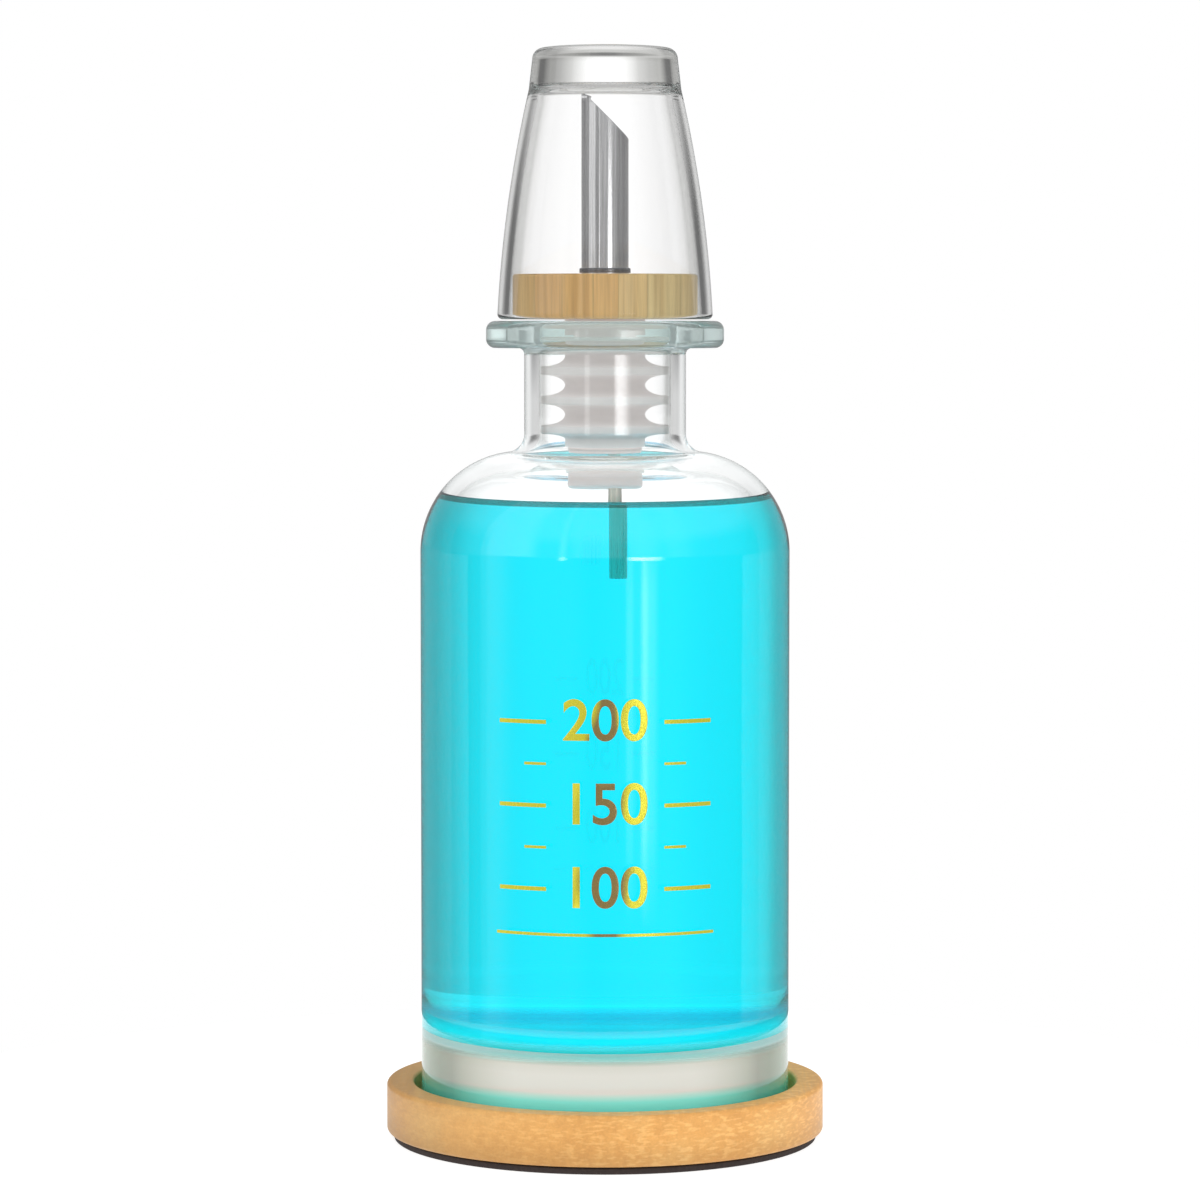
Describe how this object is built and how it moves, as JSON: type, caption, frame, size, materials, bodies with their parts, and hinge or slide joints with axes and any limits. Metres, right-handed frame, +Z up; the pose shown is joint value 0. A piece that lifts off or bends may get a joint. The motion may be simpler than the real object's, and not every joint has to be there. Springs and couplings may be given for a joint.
{
  "type": "mouthwash dispenser",
  "caption": "Clear glass bottle in a round bamboo tray, with a finned push-in pourer, a slant-cut steel spout, a bamboo collar and an upturned drinking cup over the spout.",
  "frame": {"origin": "on the floor under the middle of the tray, the lowest point of the object's axis", "axes": "+Z up along the common axis of every piece; the spout's lip points to -X and its mouth faces +X; the front is -Y"},
  "size_m": [0.0832, 0.0832, 0.2067],
  "materials": {
    "disc_rubber": "matt dark rubber",
    "tray_bamboo": "honey bamboo with fine end-grain fleck, oiled",
    "bottle_glass": "clear polished glass, faintly turquoise at the lip and base",
    "mouthwash_liquid": "clear cyan liquid",
    "sleeve_silicone": "milky translucent silicone",
    "core_plastic": "milky white moulded plastic",
    "tube_steel": "drawn steel tube, warm reflections",
    "collar_bamboo": "laminated bamboo strips, upright grain",
    "spout_steel": "drawn stainless steel, upright sheen",
    "ferrule_steel": "dark polished steel",
    "cup_glass": "clear polished glass"
  },
  "bodies": {
    "tray": {"non_slip_disc": "disc_rubber", "bamboo_tray": "tray_bamboo"},
    "bottle": {"glass_bottle": "bottle_glass", "mouthwash": "mouthwash_liquid"},
    "stopper": {"fin_sleeve": "sleeve_silicone"},
    "pour_head": {"stopper_core": "core_plastic", "air_tube": "tube_steel", "bamboo_collar": "collar_bamboo", "pour_spout": "spout_steel", "spout_ferrule": "ferrule_steel"},
    "cup": {"drinking_cup": "cup_glass"}
  },
  "joints": [
    {"name": "bottle_lift", "type": "slide", "parent": "tray", "child": "bottle", "axis": [0, 0, 1], "range_m": [0, 0.03]},
    {"name": "stopper_pull", "type": "slide", "parent": "bottle", "child": "stopper", "axis": [0, 0, 1], "range_m": [0, 0.055]},
    {"name": "spout_turn", "type": "hinge", "parent": "stopper", "child": "pour_head", "pos_m": [0, 0, 0.1557], "axis": [0, 0, 1], "continuous": true},
    {"name": "cup_lift", "type": "slide", "parent": "pour_head", "child": "cup", "axis": [0, 0, 1], "range_m": [0, 0.05]}
  ]
}
